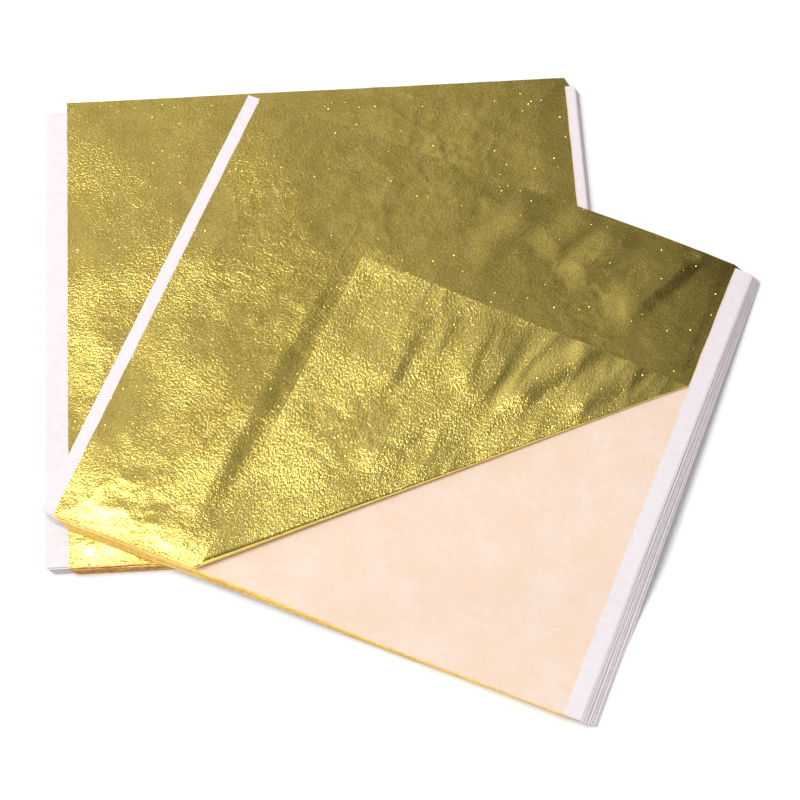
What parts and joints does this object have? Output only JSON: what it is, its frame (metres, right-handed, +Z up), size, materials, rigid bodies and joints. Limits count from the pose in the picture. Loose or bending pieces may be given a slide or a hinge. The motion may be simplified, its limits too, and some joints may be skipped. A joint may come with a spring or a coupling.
{
  "type": "leaf metal packs",
  "caption": "Two loose packs of square gold coloured leaf interleaved with tissue, one turned across the other, with one corner of its top leaf folded back.",
  "frame": {"origin": "middle of the lower pack's underside, on the surface that it lies on", "axes": "+Z up, out of the sheets; +Y to the back of the lower pack and +X to its right, along the lower pack's edges"},
  "size_m": [0.1945, 0.1895, 0.0104],
  "materials": {
    "leaf": "gloss",
    "tissue": "matte"
  },
  "bodies": {
    "lower_pack": {"lower_leaf_01_02": "leaf", "lower_leaf_03_04": "leaf", "lower_leaf_05_06": "leaf", "lower_leaf_07_08": "leaf", "lower_leaf_09_10": "leaf", "lower_leaf_11_12": "leaf", "lower_leaf_13_14": "leaf", "lower_leaf_15_16": "leaf", "lower_leaf_17_18": "leaf", "lower_leaf_19_20": "leaf", "lower_leaf_21_22": "leaf", "lower_leaf_23_24": "leaf", "lower_tissue_01_02": "tissue", "lower_tissue_03_04": "tissue", "lower_tissue_05_06": "tissue", "lower_tissue_07_08": "tissue", "lower_tissue_09_10": "tissue", "lower_tissue_11_12": "tissue", "lower_tissue_13_14": "tissue", "lower_tissue_15_16": "tissue", "lower_tissue_17_18": "tissue", "lower_tissue_19_20": "tissue", "lower_tissue_21_22": "tissue", "lower_tissue_23_24": "tissue"},
    "lower_top_tissue": {"lower_tissue_top": "tissue"},
    "lower_top_leaf": {"lower_leaf_top": "leaf"},
    "upper_pack": {"upper_leaf_01_02": "leaf", "upper_leaf_03_04": "leaf", "upper_leaf_05_06": "leaf", "upper_leaf_07_08": "leaf", "upper_leaf_09_10": "leaf", "upper_leaf_11_12": "leaf", "upper_leaf_13_14": "leaf", "upper_leaf_15_16": "leaf", "upper_leaf_17_18": "leaf", "upper_leaf_19_20": "leaf", "upper_leaf_21_22": "leaf", "upper_leaf_23_24": "leaf", "upper_tissue_01_02": "tissue", "upper_tissue_03_04": "tissue", "upper_tissue_05_06": "tissue", "upper_tissue_07_08": "tissue", "upper_tissue_09_10": "tissue", "upper_tissue_11_12": "tissue", "upper_tissue_13_14": "tissue", "upper_tissue_15_16": "tissue", "upper_tissue_17_18": "tissue", "upper_tissue_19_20": "tissue", "upper_tissue_21_22": "tissue", "upper_tissue_23_24": "tissue"},
    "upper_top_tissue": {"upper_tissue_top": "tissue"},
    "upper_top_leaf": {"upper_leaf_top": "leaf", "upper_leaf_fold": "leaf"},
    "turned_corner": {"upper_leaf_corner": "leaf"}
  },
  "joints": [
    {"name": "lower_tissue_lift", "type": "slide", "parent": "lower_pack", "child": "lower_top_tissue", "axis": [0, 0, 1], "range_m": [0, 0.03]},
    {"name": "lower_leaf_lift", "type": "slide", "parent": "lower_top_tissue", "child": "lower_top_leaf", "axis": [0, 0, 1], "range_m": [0, 0.03]},
    {"name": "upper_pack_lift", "type": "slide", "parent": "lower_top_leaf", "child": "upper_pack", "axis": [0, 0, 1], "range_m": [0, 0.06]},
    {"name": "upper_tissue_lift", "type": "slide", "parent": "upper_pack", "child": "upper_top_tissue", "axis": [0, 0, 1], "range_m": [0, 0.03]},
    {"name": "upper_leaf_lift", "type": "slide", "parent": "upper_top_tissue", "child": "upper_top_leaf", "axis": [0, 0, 1], "range_m": [0, 0.03]},
    {"name": "corner_unfold", "type": "hinge", "parent": "upper_top_leaf", "child": "turned_corner", "pos_m": [-0.03865, -0.07296, 0.00905], "axis": [0.9501, 0.3117, -0.0082], "range_deg": [0, 180], "deforming": ["upper_leaf_fold"]}
  ]
}
